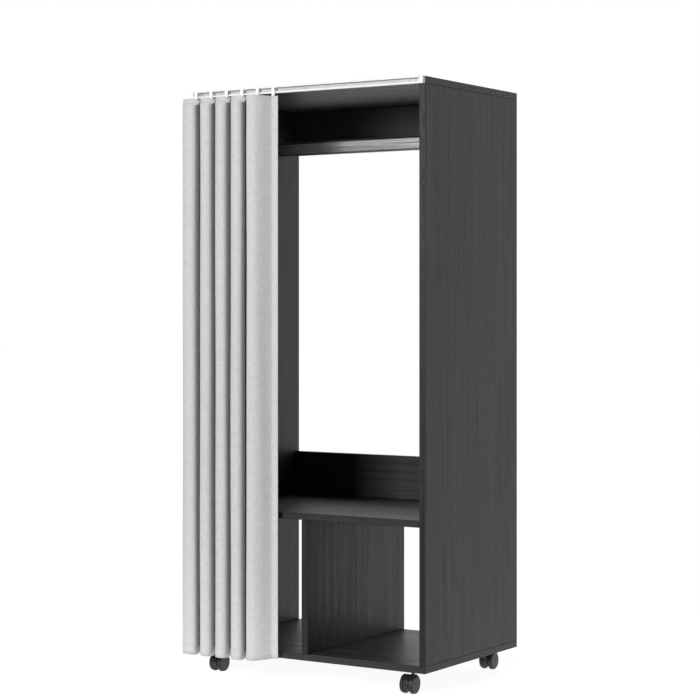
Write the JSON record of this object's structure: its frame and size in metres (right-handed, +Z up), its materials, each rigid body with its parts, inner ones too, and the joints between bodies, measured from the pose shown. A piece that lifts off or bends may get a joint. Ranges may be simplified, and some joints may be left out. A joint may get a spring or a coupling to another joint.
{
  "type": "curtain wardrobe",
  "caption": "Tall open-front wardrobe on casters: dark laminated boards, hanging rod, shelf over two cubbies, and a grey curtain on gliders in a top front track.",
  "frame": {"origin": "on the floor under the casters, at the middle of the outer box seen from above", "axes": "+Z up, -Y to the open front where the curtain hangs, +X to the wardrobe's right as seen from the front"},
  "size_m": [0.73, 0.5518, 1.56],
  "materials": {
    "laminate": "dark grey wood-grain laminate, satin",
    "beech": "bare turned beech",
    "zinc": "zinc plated",
    "steel": "plain turned steel",
    "satin_steel": "satin steel tube and pressed sockets",
    "track_white": "white enamel",
    "plastic_white": "moulded white",
    "plastic_grey": "moulded dark grey",
    "linen": "plain woven light grey cloth"
  },
  "bodies": {
    "wardrobe": {"bottom_panel": "laminate", "top_panel": "laminate", "left_side_panel": "laminate", "right_side_panel": "laminate", "shelf": "laminate", "divider": "laminate", "top_back_board": "laminate", "middle_back_board": "laminate", "top_screw_left_front": "zinc", "bottom_screw_left_front": "zinc", "shelf_dowel_left_front": "beech", "top_screw_left_back": "zinc", "bottom_screw_left_back": "zinc", "shelf_dowel_left_back": "beech", "top_screw_right_front": "zinc", "bottom_screw_right_front": "zinc", "shelf_dowel_right_front": "beech", "top_screw_right_back": "zinc", "bottom_screw_right_back": "zinc", "shelf_dowel_right_back": "beech", "divider_screw_front": "zinc", "divider_screw_back": "zinc", "hanging_rod": "satin_steel", "rod_socket_left": "satin_steel", "rod_socket_screw_left": "zinc", "track_cap_left": "plastic_white", "rod_socket_right": "satin_steel", "rod_socket_screw_right": "zinc", "track_cap_right": "plastic_white", "track_screw_left": "zinc", "track_screw_middle": "zinc", "track_screw_right": "zinc", "curtain_track": "track_white", "glider_1": "plastic_white", "curtain": "linen", "caster_front_left_stem": "steel", "caster_front_right_stem": "steel", "caster_back_left_stem": "steel", "caster_back_right_stem": "steel"},
    "lead_glider": {"glider_6": "plastic_white"},
    "follower_glider_2": {"glider_2": "plastic_white"},
    "follower_glider_3": {"glider_3": "plastic_white"},
    "follower_glider_4": {"glider_4": "plastic_white"},
    "follower_glider_5": {"glider_5": "plastic_white"},
    "caster_front_left_swivelling": {"caster_front_left_housing": "plastic_grey", "caster_front_left_axle": "steel"},
    "caster_front_left_rolling_left": {"caster_front_left_wheel_left": "plastic_grey"},
    "caster_front_left_rolling_right": {"caster_front_left_wheel_right": "plastic_grey"},
    "caster_front_right_swivelling": {"caster_front_right_housing": "plastic_grey", "caster_front_right_axle": "steel"},
    "caster_front_right_rolling_left": {"caster_front_right_wheel_left": "plastic_grey"},
    "caster_front_right_rolling_right": {"caster_front_right_wheel_right": "plastic_grey"},
    "caster_back_left_swivelling": {"caster_back_left_housing": "plastic_grey", "caster_back_left_axle": "steel"},
    "caster_back_left_rolling_left": {"caster_back_left_wheel_left": "plastic_grey"},
    "caster_back_left_rolling_right": {"caster_back_left_wheel_right": "plastic_grey"},
    "caster_back_right_swivelling": {"caster_back_right_housing": "plastic_grey", "caster_back_right_axle": "steel"},
    "caster_back_right_rolling_left": {"caster_back_right_wheel_left": "plastic_grey"},
    "caster_back_right_rolling_right": {"caster_back_right_wheel_right": "plastic_grey"}
  },
  "joints": [
    {"name": "curtain_draw", "type": "slide", "parent": "wardrobe", "child": "lead_glider", "axis": [1, 0, 0], "range_m": [-0.09, 0.25], "deforming": ["curtain"]},
    {"name": "glider_2_slide", "type": "slide", "parent": "wardrobe", "child": "follower_glider_2", "axis": [1, 0, 0], "range_m": [-0.00936, 0.026]},
    {"name": "glider_3_slide", "type": "slide", "parent": "wardrobe", "child": "follower_glider_3", "axis": [1, 0, 0], "range_m": [-0.03168, 0.088]},
    {"name": "glider_4_slide", "type": "slide", "parent": "wardrobe", "child": "follower_glider_4", "axis": [1, 0, 0], "range_m": [-0.05832, 0.162]},
    {"name": "glider_5_slide", "type": "slide", "parent": "wardrobe", "child": "follower_glider_5", "axis": [1, 0, 0], "range_m": [-0.08064, 0.224]},
    {"name": "caster_front_left_swivel", "type": "hinge", "parent": "wardrobe", "child": "caster_front_left_swivelling", "pos_m": [-0.299, -0.1621, 0.045], "axis": [0, 0, 1], "continuous": true},
    {"name": "caster_front_left_roll_left", "type": "hinge", "parent": "caster_front_left_swivelling", "child": "caster_front_left_rolling_left", "pos_m": [-0.3118, -0.1791, 0.0235], "axis": [1, 0, 0], "continuous": true},
    {"name": "caster_front_left_roll_right", "type": "hinge", "parent": "caster_front_left_swivelling", "child": "caster_front_left_rolling_right", "pos_m": [-0.2862, -0.1791, 0.0235], "axis": [1, 0, 0], "continuous": true},
    {"name": "caster_front_right_swivel", "type": "hinge", "parent": "wardrobe", "child": "caster_front_right_swivelling", "pos_m": [0.299, -0.1621, 0.045], "axis": [0, 0, 1], "continuous": true},
    {"name": "caster_front_right_roll_left", "type": "hinge", "parent": "caster_front_right_swivelling", "child": "caster_front_right_rolling_left", "pos_m": [0.2862, -0.1791, 0.0235], "axis": [1, 0, 0], "continuous": true},
    {"name": "caster_front_right_roll_right", "type": "hinge", "parent": "caster_front_right_swivelling", "child": "caster_front_right_rolling_right", "pos_m": [0.3118, -0.1791, 0.0235], "axis": [1, 0, 0], "continuous": true},
    {"name": "caster_back_left_swivel", "type": "hinge", "parent": "wardrobe", "child": "caster_back_left_swivelling", "pos_m": [-0.299, 0.2209, 0.045], "axis": [0, 0, 1], "continuous": true},
    {"name": "caster_back_left_roll_left", "type": "hinge", "parent": "caster_back_left_swivelling", "child": "caster_back_left_rolling_left", "pos_m": [-0.3118, 0.2379, 0.0235], "axis": [1, 0, 0], "continuous": true},
    {"name": "caster_back_left_roll_right", "type": "hinge", "parent": "caster_back_left_swivelling", "child": "caster_back_left_rolling_right", "pos_m": [-0.2862, 0.2379, 0.0235], "axis": [1, 0, 0], "continuous": true},
    {"name": "caster_back_right_swivel", "type": "hinge", "parent": "wardrobe", "child": "caster_back_right_swivelling", "pos_m": [0.299, 0.2209, 0.045], "axis": [0, 0, 1], "continuous": true},
    {"name": "caster_back_right_roll_left", "type": "hinge", "parent": "caster_back_right_swivelling", "child": "caster_back_right_rolling_left", "pos_m": [0.2862, 0.2379, 0.0235], "axis": [1, 0, 0], "continuous": true},
    {"name": "caster_back_right_roll_right", "type": "hinge", "parent": "caster_back_right_swivelling", "child": "caster_back_right_rolling_right", "pos_m": [0.3118, 0.2379, 0.0235], "axis": [1, 0, 0], "continuous": true}
  ],
  "couplings": [
    {"joint": "glider_2_slide", "follows": "curtain_draw", "ratio": 0.104},
    {"joint": "glider_3_slide", "follows": "curtain_draw", "ratio": 0.352},
    {"joint": "glider_4_slide", "follows": "curtain_draw", "ratio": 0.648},
    {"joint": "glider_5_slide", "follows": "curtain_draw", "ratio": 0.896}
  ]
}
